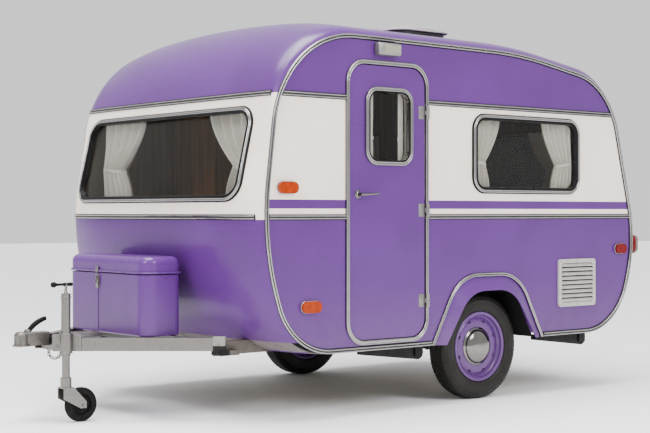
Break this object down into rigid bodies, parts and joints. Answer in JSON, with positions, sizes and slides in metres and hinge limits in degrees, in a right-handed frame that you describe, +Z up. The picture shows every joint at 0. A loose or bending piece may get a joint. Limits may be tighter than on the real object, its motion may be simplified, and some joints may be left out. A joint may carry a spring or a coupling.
{
  "type": "travel caravan",
  "caption": "Small rounded touring caravan on one axle, with a side door, curtained windows, a drawbar with jockey wheel and ball coupling, and a gas locker.",
  "frame": {"origin": "on the ground, under the middle of the overall length and width", "axes": "+Z up, -Y towards the drawbar and coupling, +X towards the side with the door"},
  "size_m": [2.094, 4.241, 2.359],
  "materials": {
    "body_paint": "gloss enamel in purple below and cream at the waist",
    "locker_paint": "gloss purple enamel",
    "door_paint": "gloss purple enamel",
    "wheel_paint": "gloss purple enamel on pressed steel",
    "belly_grey": "dull grey underseal",
    "trim_aluminium": "polished extruded aluminium",
    "chrome": "bright chrome plate",
    "galvanised": "dull zinc coat",
    "black_steel": "black chassis paint",
    "tyre_rubber": "moulded tyre rubber",
    "black_rubber": "moulded black rubber",
    "amber_lens": "ribbed amber acrylic",
    "red_lens": "ribbed red acrylic",
    "cream_lens": "opal cream acrylic",
    "clear_pane": "clear acrylic sheet",
    "roof_lid": "pressed aluminium",
    "white_curtain": "white woven cotton",
    "cabin_wood": "varnished plywood",
    "cabin_lining": "plywood floor"
  },
  "bodies": {
    "root": {"front_panel": "body_paint", "rear_panel": "body_paint", "roof_panel": "body_paint", "side_wall_left": "body_paint", "side_wall_right": "body_paint", "arch_flares": "body_paint", "floor_pan": "cabin_lining", "front_apron": "belly_grey", "wheel_boxes": "black_steel", "edge_mouldings": "trim_aluminium", "waist_trims": "trim_aluminium", "window_frames": "trim_aluminium", "window_panes": "clear_pane", "door_surround": "trim_aluminium", "door_hinge_knuckles": "chrome", "porch_lamp": "cream_lens", "marker_lamps": "amber_lens", "side_reflectors": "red_lens", "tail_lamps": "red_lens", "vent_grille": "trim_aluminium", "roof_vent_frame": "roof_lid", "drawbar_frame": "galvanised", "chassis": "black_steel", "axle": "black_steel", "coupling_head": "galvanised", "coupling_lever": "black_rubber", "overrun_bellows": "black_rubber", "jockey_clamp": "galvanised", "jockey_sleeve": "galvanised", "jockey_crank": "black_rubber", "safety_chain": "galvanised", "locker_body": "locker_paint", "locker_latch": "chrome", "furniture": "cabin_wood", "curtain_rods": "chrome", "curtains": "white_curtain"},
    "door": {"door_leaf": "door_paint", "door_window_frame": "trim_aluminium", "door_window_pane": "clear_pane", "door_handle": "chrome", "door_hinge_straps": "chrome", "door_curtains": "white_curtain"},
    "wheel_left": {"tyre_left": "tyre_rubber", "wheel_rim_left": "wheel_paint", "brake_drum_left": "black_steel", "hub_cap_left": "chrome"},
    "wheel_right": {"tyre_right": "tyre_rubber", "wheel_rim_right": "wheel_paint", "brake_drum_right": "black_steel", "hub_cap_right": "chrome"},
    "locker_lid": {"locker_lid": "locker_paint"},
    "roof_vent_lid": {"roof_vent_lid": "roof_lid"},
    "steady_front_left": {"steady_front_left": "black_steel"},
    "steady_front_right": {"steady_front_right": "black_steel"},
    "steady_rear_left": {"steady_rear_left": "black_steel"},
    "steady_rear_right": {"steady_rear_right": "black_steel"},
    "jockey_stem": {"jockey_stem": "galvanised"},
    "jockey_fork": {"jockey_fork": "galvanised"},
    "jockey_wheel": {"jockey_wheel": "black_rubber"}
  },
  "joints": [
    {"name": "wheel_left_spin", "type": "hinge", "parent": "root", "child": "wheel_left", "pos_m": [0.86, 0.5985, 0.325], "axis": [1, 0, 0], "continuous": true},
    {"name": "wheel_right_spin", "type": "hinge", "parent": "root", "child": "wheel_right", "pos_m": [-0.86, 0.5985, 0.325], "axis": [1, 0, 0], "continuous": true},
    {"name": "door_hinge", "type": "hinge", "parent": "root", "child": "door", "pos_m": [1.016, 0.0585, 1.219], "axis": [0, 0, 1], "range_deg": [0, 120]},
    {"name": "locker_lid_hinge", "type": "hinge", "parent": "root", "child": "locker_lid", "pos_m": [0, -1.2825, 0.817], "axis": [-1, 0, 0], "range_deg": [0, 36]},
    {"name": "roof_vent_hinge", "type": "hinge", "parent": "root", "child": "roof_vent_lid", "pos_m": [0.3, 0.7575, 2.323], "axis": [-1, 0, 0], "range_deg": [0, 60]},
    {"name": "steady_front_left_hinge", "type": "hinge", "parent": "root", "child": "steady_front_left", "pos_m": [0.89, 0.0785, 0.322], "axis": [1, 0, 0], "range_deg": [0, 48]},
    {"name": "steady_front_right_hinge", "type": "hinge", "parent": "root", "child": "steady_front_right", "pos_m": [-0.89, 0.0785, 0.322], "axis": [1, 0, 0], "range_deg": [0, 48]},
    {"name": "steady_rear_left_hinge", "type": "hinge", "parent": "root", "child": "steady_rear_left", "pos_m": [0.89, 1.5735, 0.322], "axis": [1, 0, 0], "range_deg": [0, 48]},
    {"name": "steady_rear_right_hinge", "type": "hinge", "parent": "root", "child": "steady_rear_right", "pos_m": [-0.89, 1.5735, 0.322], "axis": [1, 0, 0], "range_deg": [0, 48]},
    {"name": "jockey_screw", "type": "slide", "parent": "root", "child": "jockey_stem", "axis": [0, 0, 1], "range_m": [0, 0.115]},
    {"name": "jockey_swivel", "type": "hinge", "parent": "jockey_stem", "child": "jockey_fork", "pos_m": [0.1816, -1.8949, 0.25], "axis": [0, 0, 1], "continuous": true},
    {"name": "jockey_roll", "type": "hinge", "parent": "jockey_fork", "child": "jockey_wheel", "pos_m": [0.1816, -1.8029, 0.095], "axis": [1, 0, 0], "continuous": true}
  ]
}
